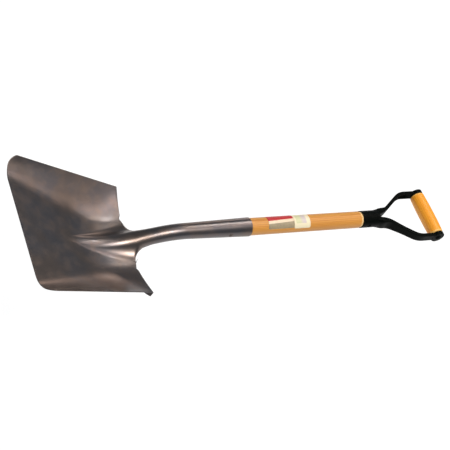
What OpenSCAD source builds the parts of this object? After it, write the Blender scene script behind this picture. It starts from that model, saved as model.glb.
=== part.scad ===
// Square-mouth roofing shovel: a pressed steel blade on a short wooden shaft with a D grip.
// X runs along the shaft towards the grip and Z is up on the carrying side.
// The origin is on the shaft's axis, at the mouth of the blade's socket.

/* [Blade] */
// Width over the walls' top edges at the front
blade_front_w = 309; // [290:1:330]
// Width over the walls' top edges at the rear
blade_rear_w = 259; // [235:1:285]
// Length of the blade, along its flat floor
blade_l = 259; // [245:1:275]
// Thickness of the steel sheet
sheet_t = 1.8; // [1.4:0.1:2.2]
// Lift: the angle between the flat floor and the shaft
lift = 24.3; // [20:0.1:28]
// Height of the walls' top edges at the front, over the plane of the floor
wall_front_h = 25.7; // [18:0.1:32]
// Height of the walls' top edges at the rear, over the plane of the floor
wall_rear_h = 45.8; // [38:0.1:52]
// Height of the dished floor at the rear edge, over the plane of the floor
dish_h = 28; // [20:0.5:32]
// Distance from the front edge to where the floor starts to dish upwards
dish_start = 140; // [120:1:160]
// Depth of the turned step's lip, below its bend
step_l = 15; // [6:0.5:18]

/* [Frog and socket] */
// Distance from the front edge to the tip of the frog, the ridge along the middle
frog_start = 107; // [95:1:120]
// Half width of the frog at its foot
frog_half_w = 48; // [42:0.5:50]
// Radius of the crest line, where it sweeps up from the floor into the neck
crest_r = 230; // [215:1:245]
// Angle at which the neck dips below the line of the shaft
neck_dip = 15; // [12:0.5:17]
// Length of the straight part of the neck
neck_l = 49.4; // [45:0.1:56]
// Radius of the bend between the neck and the socket, along the axis
neck_bend_r = 245; // [220:1:270]
// Outer radius of the neck
neck_r = 17; // [16.5:0.1:18]
// Length of the straight, tapered socket
socket_l = 150; // [140:1:165]
// Outer radius of the socket at its mouth
socket_r = 20.8; // [20.6:0.1:21.4]

/* [Shaft] */
// Radius of the wooden shaft
shaft_r = 19; // [18.6:0.1:19.4]
// Length of bare wood between the socket and the yoke
shaft_bare_l = 298.5; // [240:0.5:900]
// Length of the shaft's tapered tip, inside the socket
shaft_tip_l = 144; // [120:1:148]
// Radius of the tenon that fills the yoke's ferrule
tenon_r = 17.7; // [17:0.1:18]

/* [Yoke and grip] */
// Outer radius of the yoke's ferrule
ferrule_r = 19.6; // [19.4:0.1:20.4]
// Length of the ferrule
ferrule_l = 52; // [45:1:60]
// Distance from the ferrule's mouth to the axis of the grip
grip_reach = 202.2; // [198:0.1:212]
// Height of the yoke's arms
arm_h = 21.5; // [18:0.5:24]
// Thickness of the yoke's arms, over the flanges of their channel
arm_t = 9; // [7:0.1:9]
// Angle at which the yoke's arms spread
arm_spread = 34; // [32:0.5:38]
// Half length of the wooden grip
grip_half_l = 55.5; // [52:0.1:58]
// Radius of the grip at its middle
grip_r = 18.2; // [16:0.1:19]
// Radius of the rod that the grip turns on
rod_r = 4; // [3:0.1:5]
// Radius of the grip's rod heads
rod_head_r = 8; // [6:0.1:9]

/* [Labels] */
// Distance from the socket's mouth to the first label
label_start = 42; // [20:1:90]
// Length of the first label
label_front_l = 66; // [40:1:80]
// Length of the second label
label_rear_l = 42; // [30:1:60]

/* [Hidden] */
round_fn = 96;
arc_steps = 8;
press_gap = 0.02;
run_gap = 0.08;

// Shaft, rivets and labels
socket_gap = 0.25;
shaft_shoulder_l = 0.4;
ferrule_x = shaft_bare_l;
tenon_x = ferrule_x + ferrule_l - 8;
rivet_r = 2.5;
rivet_head_r = 5.5;
rivet_head_h = 1.8;
rivet_seat = 1;
socket_rivet_x = -50;
yoke_rivet_x = ferrule_x + ferrule_l / 2 - 4;
label_t = 0.25;
label_gap = 0.3;
label_far_angle = 50;
label_front_angle = 60;
label_rear_angle = 66;

// Yoke and grip
grip_x = ferrule_x + grip_reach;
grip_gap = 0.5;
grip_taper = 1.3;
grip_round_r = 1.5;
rod_head_h = 4;
eye_r = 16.5;
eye_t = arm_t + 0.6;
arm_root_t = 12.6;
channel_web_t = 2.6;
channel_flange_t = 2.6;
arm_in_r = 50;
arm_out_r = 50;
cheek_t = 1.5;
cheek_inset = 0.6;
arm_start = [ferrule_x + ferrule_l + 7.5, ferrule_r - arm_root_t / 2];
arm_y = grip_half_l + grip_gap + eye_t / 2;
arm_slope_rise = arm_y - arm_start[1] - (arm_in_r + arm_out_r) * (1 - cos(arm_spread));
arm_slope_x = (arm_in_r + arm_out_r) * sin(arm_spread) + arm_slope_rise / tan(arm_spread);
arm_knee = [arm_start[0] + arm_slope_x, arm_y];

// Grid of the blade's sheet: columns of each zone on one side, then rows along the blade
crest_cols = 12;
fillet_cols = 5;
floor_cols = 5;
wall_cols = 8;
half_cols = crest_cols + fillet_cols + floor_cols + wall_cols;
body_rows = 20;
tongue_rows = 20;
lip_rows = 4;

// Plan of the blade
foot_front_y = 108;
foot_rear_y = 52;
foot_settle_s = 200;
foot_power = 1.3;
fold_front = 0.6;
fold_rear = 0.3;
front_corner_r = 23;
front_corner_l = 21;
edge_fillet_r = 36;
edge_fillet_start = 0.7;
frog_tip_half_w = 6;
tip_share = 0.65;
lip_r = 3;
lip_turn = 110;
lip_first_turn = 20;
lip_min_l = 0.4;
lip_arc = 150;
seam_half_angle = 176;
tongue_wrap = 125;
bend_rad = neck_dip * PI / 180;

// Angles of the neck against the floor, and the straight stretch in the floor's own frame:
// s runs from the front edge to the rear, h is the height over the plane of the floor.
neck_rise = lift + neck_dip;
crest_end_s = frog_start + crest_r * sin(neck_rise);
crest_end_h = crest_r * (1 - cos(neck_rise));
tongue_s = blade_l + edge_fillet_r;
dish_r = (pow(blade_l - dish_start, 2) + pow(dish_h, 2)) / (2 * dish_h);

// The crest line's fixed points in X and Z, from the end of the neck's bend to the front edge
bend_end = [-socket_l - neck_bend_r * sin(neck_dip), -neck_bend_r * (1 - cos(neck_dip))];
neck_top = bend_end + neck_r * up_from(neck_dip);
crest_end = neck_top + neck_l * ahead(neck_dip);
frog_tip = crest_end + crest_r * (up_from(neck_dip) - up_from(-lift));
front_edge = frog_tip + frog_start * ahead(-lift);

// Direction towards the blade, and the one at right angles to it, at an angle below the shaft
function ahead(dip) = [-cos(dip), -sin(dip)];
function up_from(dip) = [-sin(dip), cos(dip)];

function mix(a, b, t) = a + (b - a) * t;
function clamp01(t) = max(0, min(1, t));
function smooth(t) = pow(clamp01(t), 2) * (3 - 2 * clamp01(t));
function unit(v) = v / norm(v);
function bulge(r, x) = r - sqrt(max(0, r * r - x * x));

// A point given by s, y and h in the floor's frame, placed in the shovel's frame
function floor_place(s, y, h) =
    let (p = front_edge - s * ahead(-lift) + h * up_from(-lift))
    [p[0], y, p[1]];

// Crest line over the floor: flat, then an arc, then the straight neck
function crest_h(s) =
    s < frog_start ? 0
    : s < crest_end_s ? bulge(crest_r, s - frog_start)
    : crest_end_h + (s - crest_end_s) * tan(neck_rise);
function crest_slope(s) =
    s < frog_start ? 0
    : s < crest_end_s ? asin((s - frog_start) / crest_r)
    : neck_rise;

// Floor, foot of the wall and top edge of the wall
function floor_h(s) = s < dish_start ? 0 : bulge(dish_r, s - dish_start);
function foot_y(s) =
    mix(foot_rear_y, foot_front_y, pow(clamp01(1 - s / foot_settle_s), foot_power));
function top_y(s) = mix(blade_front_w, blade_rear_w, s / blade_l) / 2;
function top_h(s) = mix(wall_front_h, wall_rear_h, s / blade_l);
function fold(s) = mix(fold_front, fold_rear, clamp01(s / blade_l));

// Frog: two arcs on each side, one over the crest and one into the floor
function frog_w(s) =
    mix(frog_tip_half_w, frog_half_w, clamp01((s - frog_start) / (blade_l - frog_start)));
function frog_depth(s) = (crest_h(s) - floor_h(s)) * cos(crest_slope(s));
function frog_sum_r(s) = (pow(frog_w(s), 2) + pow(frog_depth(s), 2)) / (2 * frog_depth(s));
function frog_angle(s) =
    mix(acos(1 - frog_depth(s) / frog_sum_r(s)), tongue_wrap, smooth((s - blade_l) / edge_fillet_r));
neck_share = neck_r / frog_sum_r(tongue_s);
// How much of a side's two arcs is the one over the crest: more at the frog's tip than at the neck
function crest_share(s) = mix(tip_share, neck_share, smooth((s - frog_start) / (tongue_s - frog_start)));

// y and depth below the crest, at a share t of the crest's arc or of the fillet's arc
function crest_point(s, t) =
    frog_depth(s) < 0.05 ? [crest_share(s) * frog_w(s) * t, 0]
    : let (r = crest_share(s) * frog_sum_r(s), a = frog_angle(s) * t)
      [r * sin(a), r * (1 - cos(a))];
function fillet_point(s, t) =
    frog_depth(s) < 0.05 ? [mix(crest_share(s), 1, t) * frog_w(s), 0]
    : let (r = (1 - crest_share(s)) * frog_sum_r(s), a = frog_angle(s) * (1 - t))
      [frog_sum_r(s) * sin(frog_angle(s)) - r * sin(a),
       frog_sum_r(s) * (1 - cos(frog_angle(s))) - r * (1 - cos(a))];
// y and height over the plane of the floor, up the wall's curve
function wall_point(s, t) =
    let (foot = [foot_y(s), floor_h(s)],
         top = [top_y(s), top_h(s)],
         knee = [mix(foot[0], top[0], fold(s)), foot[1]])
    pow(1 - t, 2) * foot + 2 * t * (1 - t) * knee + t * t * top;

// y and h of a column at station s; columns count outwards from the middle of the blade
function below_crest(s, p) = [p[0], crest_h(s) - p[1] / cos(crest_slope(s))];
function section_point(s, col) =
    let (floor_first = crest_cols + fillet_cols, wall_first = floor_first + floor_cols)
    col <= crest_cols ? below_crest(s, crest_point(s, col / crest_cols))
    : col <= floor_first ? below_crest(s, fillet_point(s, (col - crest_cols) / fillet_cols))
    : col <= wall_first
        ? mix(below_crest(s, fillet_point(s, 1)), [foot_y(s), floor_h(s)], (col - floor_first) / floor_cols)
    : wall_point(s, (col - wall_first) / wall_cols);

// Front edge: straight across, then rounded back into the walls' top edges
wall_len = norm([top_y(0) - foot_y(0), top_h(0)]);
function front_s(col) =
    let (below_top = wall_len * (half_cols - col) / wall_cols)
    bulge(front_corner_r, max(0, front_corner_l - below_top));

// Rear edge: straight across, with a fillet in the sheet's outline beside the neck
fillet_len = (1 - crest_share(blade_l)) * frog_sum_r(blade_l) * frog_angle(blade_l) * PI / 180;
function beside_neck(col) =
    col <= crest_cols ? 0
    : col <= crest_cols + fillet_cols ? fillet_len * (col - crest_cols) / fillet_cols
    : fillet_len + section_point(blade_l, col)[0] - frog_w(blade_l);
function fillet_s(col) = bulge(edge_fillet_r, max(0, edge_fillet_r - beside_neck(col)));
lip_first = len([for (c = [1:half_cols]) if (beside_neck(c) < edge_fillet_r) c]) + 1;
function lip_back(col) =
    col < lip_first ? 0
    : lip_r * sin(min(90, lip_angle(col))) + lip_l(col) * max(0, cos(lip_angle(col)));
function rear_s(col) = blade_l + fillet_s(col) - lip_back(col);

// Columns on either side count from -half_cols to half_cols
function body_point(row, k) =
    let (col = abs(k),
         t = row / body_rows,
         late = clamp01((t - edge_fillet_start) / (1 - edge_fillet_start)),
         s = mix(front_s(col), blade_l, t) + (rear_s(col) - blade_l) * late * late,
         p = section_point(s, col))
    floor_place(s, p[0] * sign(k), p[1]);

// Tongue: the neck and the socket, along their axis from the blade to the mouth
bend_l = neck_bend_r * bend_rad;
tongue_l = socket_l + bend_l + neck_l - (tongue_s - crest_end_s) / cos(neck_rise);
fan_l = 40;
wrap_l = 80;
function axis_dip(l) = neck_dip * clamp01((l - socket_l) / bend_l);
function axis_place(l) =
    l < socket_l ? [-l, 0]
    : l < socket_l + bend_l
        ? [-socket_l - neck_bend_r * sin(axis_dip(l)), -neck_bend_r * (1 - cos(axis_dip(l)))]
    : bend_end + (l - socket_l - bend_l) * ahead(neck_dip);
function tongue_r(l) = mix(socket_r, neck_r, clamp01(l / socket_l));
function wrap(l) = mix(tongue_wrap, seam_half_angle, smooth((tongue_l - l) / wrap_l));
function tongue_point(row, k) =
    let (l = tongue_l * (1 - row / tongue_rows),
         dip = axis_dip(l),
         r = tongue_r(l),
         a = wrap(l) * k / crest_cols,
         depth = r * (1 - cos(a)),
         lean = neck_rise * clamp01(1 - (tongue_l - l) / fan_l),
         p = axis_place(l) + (r - depth) * up_from(dip) + depth * tan(lean) * ahead(dip))
    [p[0], r * sin(a), p[1]];

// Step: the rear edge turned down in a lip, with its corners cut back
function lip_share(col) =
    let (from = beside_neck(lip_first))
    (beside_neck(col) - from) / (beside_neck(half_cols) - from);
function lip_l(col) = lip_min_l + step_l * sin(lip_arc * lip_share(col));
function lip_angle(col) = mix(lip_first_turn, lip_turn, smooth(3 * lip_share(col)));
function lip_point(row, k) =
    let (edge = body_point(body_rows, k),
         back = unit(edge - body_point(body_rows - 0.2, k)),
         inner = sign(k) * (abs(k) - 0.2),
         across = unit(edge - body_point(body_rows, inner)) * sign(k),
         up = unit(cross(back, across)),
         turn = lip_angle(abs(k)) * min(1, row / (lip_rows - 1)),
         flat = row == lip_rows ? lip_l(abs(k)) : 0)
    edge + (lip_r * sin(turn) + flat * cos(turn)) * back
         - (lip_r * (1 - cos(turn)) + flat * sin(turn)) * up;

// The sheet's grid: which points it has, where they are, and which cells are steel
last_row = body_rows + tongue_rows;
function on_tongue(k) = abs(k) <= crest_cols;
function has_point(row, k) =
    abs(k) <= half_cols && row >= 0
    && (row <= body_rows
        || (on_tongue(k) && row <= last_row)
        || (abs(k) >= lip_first && row <= body_rows + lip_rows));
function grid_point(row, k) =
    row <= body_rows ? body_point(row, k)
    : on_tongue(k) ? tongue_point(row - body_rows, k)
    : has_point(row, k) ? lip_point(row - body_rows, k)
    : body_point(body_rows, k);
function has_cell(row, k) =
    has_point(row, k) && has_point(row + 1, k) && has_point(row, k + 1) && has_point(row + 1, k + 1)
    && !(row >= body_rows && abs(k + 0.5) > crest_cols && abs(k + 0.5) < lip_first);

module blade_sheet() {
    cols = 2 * half_cols + 1;
    face = [for (row = [0:last_row]) [for (k = [-half_cols:half_cols]) grid_point(row, k)]];
    function at(row, k) = face[row][k + half_cols];
    function normal(row, k) =
        let (r1 = has_point(row + 1, k) ? row + 1 : row,
             r0 = has_point(row - 1, k) ? row - 1 : row,
             k1 = has_point(row, k + 1) ? k + 1 : k,
             k0 = has_point(row, k - 1) ? k - 1 : k,
             n = cross(at(r1, k) - at(r0, k), at(row, k1) - at(row, k0)))
        norm(n) < 1e-9 ? [0, 0, 1] : unit(n);
    top = [for (row = [0:last_row]) for (k = [-half_cols:half_cols]) at(row, k)];
    under = [for (row = [0:last_row])
             for (k = [-half_cols:half_cols])
             has_point(row, k) ? at(row, k) - sheet_t * normal(row, k) : at(row, k)];
    count = len(top);
    function id(row, k) = row * cols + k + half_cols;
    // Each cell is two triangles on top and two underneath, with a wall on every open side
    cells = [for (row = [0:last_row - 1])
             for (k = [-half_cols:half_cols - 1])
             if (has_cell(row, k)) [row, k]];
    skins = [for (c = cells)
             let (a = id(c[0], c[1]), b = id(c[0], c[1] + 1),
                  d = id(c[0] + 1, c[1]), e = id(c[0] + 1, c[1] + 1))
             each [[a, b, d], [b, e, d],
                   [a + count, d + count, b + count], [b + count, d + count, e + count]]];
    function wall(a, b) = [[a, a + count, b], [b, a + count, b + count]];
    rims = [for (c = cells)
            let (a = id(c[0], c[1]), b = id(c[0], c[1] + 1),
                 d = id(c[0] + 1, c[1]), e = id(c[0] + 1, c[1] + 1))
            each concat(has_cell(c[0] - 1, c[1]) ? [] : wall(a, b),
                        has_cell(c[0] + 1, c[1]) ? [] : wall(e, d),
                        has_cell(c[0], c[1] - 1) ? [] : wall(d, a),
                        has_cell(c[0], c[1] + 1) ? [] : wall(b, e))];
    polyhedron(concat(top, under), concat(skins, rims), convexity = 10);
}

module blade() {
    color([0.27, 0.25, 0.25])
        difference() {
            blade_sheet();
            cross_hole(socket_rivet_x, rivet_r + press_gap);
        }
}

// A dome of radius r at its foot and height h, standing on z = 0
module dome(r, h) {
    ball_r = (r * r + h * h) / (2 * h);
    intersection() {
        translate([0, 0, h - ball_r]) sphere(ball_r, $fn = round_fn);
        cylinder(h = h, r = r, $fn = round_fn);
    }
}

// A rivet across the shovel at x, with a head on each side of a tube of radius seat_r
module cross_rivet(x, seat_r) {
    translate([x, 0, 0])
        rotate([90, 0, 0]) {
            cylinder(h = 2 * seat_r + rivet_head_h, r = rivet_r, center = true, $fn = round_fn);
            for (flip = [0, 180])
                rotate([flip, 0, 0])
                    difference() {
                        translate([0, 0, seat_r - rivet_seat]) dome(rivet_head_r, rivet_head_h + rivet_seat);
                        rotate([0, 90, 0])
                            cylinder(h = 4 * rivet_head_r, r = seat_r, center = true, $fn = round_fn);
                    }
        }
}
module cross_hole(x, r) {
    translate([x, 0, 0])
        rotate([90, 0, 0]) cylinder(h = 4 * shaft_r, r = r, center = true, $fn = round_fn);
}

// Wood: a tapered tip in the socket, the bare shaft, and a tenon in the ferrule
module shaft() {
    mouth_r = tongue_r(0) - sheet_t - socket_gap;
    tip_r = tongue_r(shaft_tip_l) - sheet_t - socket_gap;
    color([0.86, 0.60, 0.30])
        difference() {
            rotate([0, 90, 0])
                rotate_extrude($fn = round_fn)
                    polygon([[0, -shaft_tip_l],
                             [tip_r, -shaft_tip_l],
                             [mouth_r, 0],
                             [shaft_r, shaft_shoulder_l],
                             [shaft_r, ferrule_x - press_gap],
                             [tenon_r, ferrule_x - press_gap],
                             [tenon_r, tenon_x],
                             [0, tenon_x]]);
            cross_hole(socket_rivet_x, rivet_r + press_gap);
            cross_hole(yoke_rivet_x, rivet_r + press_gap);
        }
}

module socket_rivet() {
    color([0.33, 0.30, 0.29]) cross_rivet(socket_rivet_x, tongue_r(-socket_rivet_x - rivet_head_r));
}

module yoke_rivet() {
    color([0.05, 0.06, 0.06]) cross_rivet(yoke_rivet_x, ferrule_r + press_gap);
}

// Outline of an arm in plan, on its outer side (1) or its inner side (-1):
// out along one arc, straight, back along a second arc, and straight to the grip
function arm_side(side) =
    concat([for (i = [arc_steps / 2:arc_steps])
                let (a = arm_spread * i / arc_steps,
                     half_t = mix(arm_root_t, arm_t, i / arc_steps) / 2)
                arm_start + arm_in_r * [sin(a), 1 - cos(a)] + side * half_t * [-sin(a), cos(a)]],
           [for (i = [arc_steps:-1:0])
                let (a = arm_spread * i / arc_steps)
                arm_knee - arm_out_r * [sin(a), 1 - cos(a)] + side * arm_t / 2 * [-sin(a), cos(a)]],
           [[grip_x - rod_head_r, arm_knee[1] + side * arm_t / 2]]);
function reversed(list) = [for (i = [len(list) - 1:-1:0]) list[i]];

// Channel in the inner side of an arm, along its slope and its straight end
channel_start = [for (i = [arc_steps:-1:0])
                     let (a = arm_spread * i / arc_steps)
                     arm_knee - arm_out_r * [sin(a), 1 - cos(a)]
                         + (arm_t / 2 - channel_web_t) * [-sin(a), cos(a)]];
module arm_channel() {
    last = [grip_x - eye_r - 1, arm_knee[1] + arm_t / 2 - channel_web_t];
    floor_side = concat(channel_start, [last]);
    open_side = concat([for (p = channel_start) p - arm_t * [-sin(arm_spread / 2), cos(arm_spread / 2)]],
                       [last - [0, arm_t]]);
    linear_extrude(arm_h - 2 * channel_flange_t, center = true)
        polygon(concat(floor_side, reversed(open_side)));
}

module arm() {
    outline = concat(arm_side(1), reversed(arm_side(-1)));
    difference() {
        linear_extrude(arm_h, center = true) polygon(outline);
        arm_channel();
    }
    // Eye round the rod
    translate([grip_x, arm_knee[1], 0])
        rotate([90, 0, 0]) cylinder(h = eye_t, r = eye_r, center = true, $fn = round_fn);
    // Cheek that joins the arm to the ferrule
    half = arm_spread / 2;
    root = arm_start + arm_in_r * [sin(half), 1 - cos(half)];
    hull() {
        intersection() {
            translate([tenon_x + cheek_inset, 0, 0])
                rotate([0, 90, 0]) cylinder(h = cheek_t, r = ferrule_r - cheek_inset, $fn = 32);
            translate([tenon_x, cheek_inset, -ferrule_r]) cube([ferrule_l, ferrule_r, 2 * ferrule_r]);
        }
        translate([root[0], root[1], 0])
            rotate([0, 0, half])
                cube([cheek_t, (arm_root_t + arm_t) / 2, arm_h], center = true);
    }
}

// Yoke: a ferrule on the shaft's tenon and two arms that hold the grip
module yoke() {
    color([0.04, 0.05, 0.05])
        difference() {
            union() {
                translate([ferrule_x, 0, 0])
                    rotate([0, 90, 0]) cylinder(h = ferrule_l, r = ferrule_r, $fn = round_fn);
                arm();
                mirror([0, 1, 0]) arm();
            }
            translate([ferrule_x - 1, 0, 0])
                rotate([0, 90, 0])
                    cylinder(h = tenon_x + press_gap - ferrule_x + 1, r = tenon_r + press_gap,
                             $fn = round_fn);
            cross_hole(yoke_rivet_x, rivet_r + press_gap);
            translate([grip_x, 0, 0])
                rotate([90, 0, 0])
                    cylinder(h = 4 * grip_half_l, r = rod_r + press_gap, center = true, $fn = round_fn);
        }
}

// Grip: a turned bar, slightly fuller in the middle, with rounded ends and a bore for the rod
module grip() {
    belly_r = (pow(grip_half_l, 2) + pow(grip_taper, 2)) / (2 * grip_taper);
    straight = grip_half_l - grip_round_r;
    side = [for (i = [-arc_steps:arc_steps])
            let (y = straight * i / arc_steps)
            [grip_r - bulge(belly_r, y), y]];
    end_r = grip_r - bulge(belly_r, straight);
    round_end = [for (i = [1:arc_steps])
                 let (a = 90 * i / arc_steps)
                 [end_r - grip_round_r * (1 - cos(a)), straight + grip_round_r * sin(a)]];
    flipped = [for (p = reversed(round_end)) [p[0], -p[1]]];
    bore_r = rod_r + run_gap;
    color([0.90, 0.62, 0.16])
        translate([grip_x, 0, 0])
            rotate([90, 0, 0])
                rotate_extrude($fn = round_fn)
                    polygon(concat([[bore_r, -grip_half_l]], flipped, side, round_end,
                                   [[bore_r, grip_half_l]]));
}

// Rod: a through rivet in the eyes of the yoke, which the grip turns on
module grip_rod() {
    eye_y = arm_y + eye_t / 2;
    color([0.05, 0.06, 0.06])
        translate([grip_x, 0, 0])
            rotate([90, 0, 0]) {
                cylinder(h = 2 * eye_y + rod_head_h, r = rod_r, center = true, $fn = round_fn);
                for (flip = [0, 180])
                    rotate([flip, 0, 0])
                        translate([0, 0, eye_y + press_gap]) dome(rod_head_r, rod_head_h);
            }
}

// A paper label wrapped over the top of the shaft, from x to x + l
module wrapped_label(x, l, low_angle) {
    translate([x, 0, 0])
        rotate([0, 90, 0])
            rotate([0, 0, 180 - label_far_angle])
                rotate_extrude(angle = label_far_angle + low_angle, $fn = round_fn)
                    translate([shaft_r + press_gap, 0]) square([label_t, l]);
}
module label_front() {
    color([0.75, 0.12, 0.14]) wrapped_label(label_start, label_front_l, label_front_angle);
}
module label_rear() {
    color([0.93, 0.90, 0.80])
        wrapped_label(label_start + label_front_l + label_gap, label_rear_l, label_rear_angle);
}

blade();
shaft();
socket_rivet();
yoke();
yoke_rivet();
grip();
grip_rod();
label_front();
label_rear();
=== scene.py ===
import math

import bpy
import numpy as np
from mathutils import Matrix, Vector


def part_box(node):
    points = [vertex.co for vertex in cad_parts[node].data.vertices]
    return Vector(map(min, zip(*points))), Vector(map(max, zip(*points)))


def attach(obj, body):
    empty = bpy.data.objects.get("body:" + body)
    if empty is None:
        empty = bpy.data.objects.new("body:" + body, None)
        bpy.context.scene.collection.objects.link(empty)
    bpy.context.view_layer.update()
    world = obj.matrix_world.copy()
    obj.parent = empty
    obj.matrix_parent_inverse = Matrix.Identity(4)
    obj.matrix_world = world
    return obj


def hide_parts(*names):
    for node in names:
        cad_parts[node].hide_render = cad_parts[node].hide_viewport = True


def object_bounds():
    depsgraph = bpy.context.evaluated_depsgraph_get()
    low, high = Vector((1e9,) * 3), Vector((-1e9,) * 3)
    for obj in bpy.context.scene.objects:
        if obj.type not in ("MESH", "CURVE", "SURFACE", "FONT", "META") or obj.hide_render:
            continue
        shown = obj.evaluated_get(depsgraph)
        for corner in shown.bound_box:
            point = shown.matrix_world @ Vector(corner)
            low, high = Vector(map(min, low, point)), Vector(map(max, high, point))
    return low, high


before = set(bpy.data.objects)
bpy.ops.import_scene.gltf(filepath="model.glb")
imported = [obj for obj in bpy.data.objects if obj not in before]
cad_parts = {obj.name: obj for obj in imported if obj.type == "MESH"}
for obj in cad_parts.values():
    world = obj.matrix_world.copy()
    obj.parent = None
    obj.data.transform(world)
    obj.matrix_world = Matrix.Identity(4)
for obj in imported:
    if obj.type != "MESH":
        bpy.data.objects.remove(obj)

# Looks of a square-mouth roofing shovel with a D grip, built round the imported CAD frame.
# Lengths are in millimetres and are turned into metres where a mesh is made.
# X runs along the shaft towards the grip, Z is up, and the origin is at the socket's mouth.
# In names, L, W, H, T and R stand for length, width, height, thickness and radius. On the blade,
# s is the distance back from the front edge and t is a share of a zone, from the middle outwards.

MM = 0.001
CAD_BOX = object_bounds()


def box_mm(node):
    """Lowest and highest corner of a CAD node, in millimetres."""
    low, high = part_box(node)
    return low / MM, high / MM


# ---------------------------------------------------------------- sizes from the frame

shaft_low, shaft_high = box_mm("shaft")
yoke_low, yoke_high = box_mm("yoke")
grip_low, grip_high = box_mm("grip")

SHAFT_R = shaft_high.z
FERRULE_X = yoke_low.x
FERRULE_R = yoke_high.z
GRIP_X = (grip_low.x + grip_high.x) / 2
GRIP_HALF_L = grip_high.y
GRIP_R = grip_high.z
EYE_R = yoke_high.x - GRIP_X
TENON_END_X = shaft_high.x

# ---------------------------------------------------------------- sizes of the blade

BLADE_FRONT_W = 309
BLADE_REAR_W = 259
BLADE_L = 259
SHEET_T = 1.8
SHEET_EDGE = 0.7
LIFT = math.radians(24.3)
WALL_FRONT_H = 25.7
WALL_REAR_H = 45.8
DISH_H = 28
DISH_START = 140
STEP_L = 15
FROG_START = 107
FROG_HALF_W = 48
FROG_TIP_HALF_W = 6
TIP_SHARE = 0.65
CREST_R = 230
NECK_DIP = math.radians(15)
NECK_L = 49.4
NECK_BEND_R = 245
NECK_R = 17
SOCKET_L = 150
SOCKET_R = 20.8
FOOT_FRONT_Y = 108
FOOT_REAR_Y = 52
FOOT_SETTLE_S = 200
FOOT_POWER = 1.3
FOLD_FRONT = 0.6
FOLD_REAR = 0.3
FRONT_CORNER_R = 23
FRONT_CORNER_L = 21
EDGE_FILLET_R = 36
EDGE_FILLET_START = 0.7
LIP_R = 3
LIP_TURN = math.radians(110)
LIP_FIRST_TURN = math.radians(20)
LIP_MIN_L = 0.4
LIP_ARC = math.radians(150)
SEAM_HALF_ANGLE = math.radians(176)
TONGUE_WRAP = math.radians(125)
FAN_L = 40
WRAP_L = 80

NECK_RISE = LIFT + NECK_DIP
CREST_END_S = FROG_START + CREST_R * math.sin(NECK_RISE)
CREST_END_H = CREST_R * (1 - math.cos(NECK_RISE))
TONGUE_S = BLADE_L + EDGE_FILLET_R
DISH_R = ((BLADE_L - DISH_START) ** 2 + DISH_H ** 2) / (2 * DISH_H)
BEND_L = NECK_BEND_R * NECK_DIP
TONGUE_L = SOCKET_L + BEND_L + NECK_L - (TONGUE_S - CREST_END_S) / math.cos(NECK_RISE)

# Grid of the sheet: columns of each zone on one side of the middle, then rows along the blade
CREST_COLS = 24
FILLET_COLS = 12
FLOOR_COLS = 10
WALL_COLS = 20
HALF_COLS = CREST_COLS + FILLET_COLS + FLOOR_COLS + WALL_COLS
BODY_ROWS = 84
TONGUE_ROWS = 84
LIP_ARC_ROWS = 10
LIP_FLAT_ROWS = 2
LIP_ROWS = LIP_ARC_ROWS + LIP_FLAT_ROWS


# ---------------------------------------------------------------- small maths

def mix(a, b, t):
    return a + (b - a) * t


def clamp01(t):
    return np.clip(t, 0, 1)


def smooth(t):
    t = clamp01(t)
    return t * t * (3 - 2 * t)


def bulge(r, x):
    """How far a circle of radius r has curved away, a distance x along its tangent."""
    return r - np.sqrt(np.maximum(0, r * r - np.square(x)))


def unit(v):
    return v / np.maximum(np.linalg.norm(v, axis=-1, keepdims=True), 1e-9)


def ahead(dip):
    """X and Z of the direction towards the blade, at an angle below the shaft."""
    return np.stack([-np.cos(dip), -np.sin(dip)], -1)


def up_from(dip):
    """X and Z of the direction square to ahead(), on the upper side."""
    return np.stack([-np.sin(dip), np.cos(dip)], -1)


# ---------------------------------------------------------------- meshes

def new_piece(name, vertices, faces, body):
    """A smooth-shaded mesh from points in millimetres, riding on a CAD body."""
    mesh = bpy.data.meshes.new(name)
    mesh.from_pydata([tuple(v) for v in np.asarray(vertices, float) * MM], [], [tuple(f) for f in faces])
    mesh.validate()
    mesh.polygons.foreach_set("use_smooth", [True] * len(mesh.polygons))
    mesh.update()
    piece = bpy.data.objects.new(name, mesh)
    bpy.context.scene.collection.objects.link(piece)
    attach(piece, body)
    return piece


def add_modifier(piece, name, kind, **settings):
    modifier = piece.modifiers.new(name, kind)
    for key, value in settings.items():
        setattr(modifier, key, value)
    return modifier


def round_edges(piece, width, segments, angle):
    add_modifier(piece, "Rounded edges", "BEVEL", width=width * MM, segments=segments,
                 limit_method="ANGLE", angle_limit=math.radians(angle), use_clamp_overlap=False,
                 harden_normals=True)


def turned_points(profile, segments):
    """Rings of points round the X axis for a profile of [x, radius] pairs."""
    angles = np.linspace(0, 2 * math.pi, segments, endpoint=False)
    profile = np.asarray(profile, float)
    x = np.repeat(profile[:, 0], segments)
    y = np.outer(profile[:, 1], np.cos(angles)).ravel()
    z = np.outer(profile[:, 1], np.sin(angles)).ravel()
    return np.stack([x, y, z], 1)


def turned_faces(rings, segments, closed):
    """Quads between neighbouring rings; an open profile gets flat ends, a closed one joins up."""
    faces = []
    for ring in range(rings if closed else rings - 1):
        start = ring * segments
        following = (ring + 1) % rings * segments
        for i in range(segments):
            j = (i + 1) % segments
            faces.append((start + i, start + j, following + j, following + i))
    if not closed:
        faces.append(tuple(reversed(range(segments))))
        faces.append(tuple(range((rings - 1) * segments, rings * segments)))
    return faces


def turned(profile, segments=96, closed=False):
    """Points and faces of a shape turned round the X axis; the profile runs towards +X."""
    return turned_points(profile, segments), turned_faces(len(profile), segments, closed)


def joined(parts):
    """Points and faces of several shapes as one list of each."""
    points, faces, count = [], [], 0
    for part_points, part_faces in parts:
        points.append(part_points)
        faces.extend(tuple(i + count for i in face) for face in part_faces)
        count += len(part_points)
    return np.concatenate(points), faces


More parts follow.
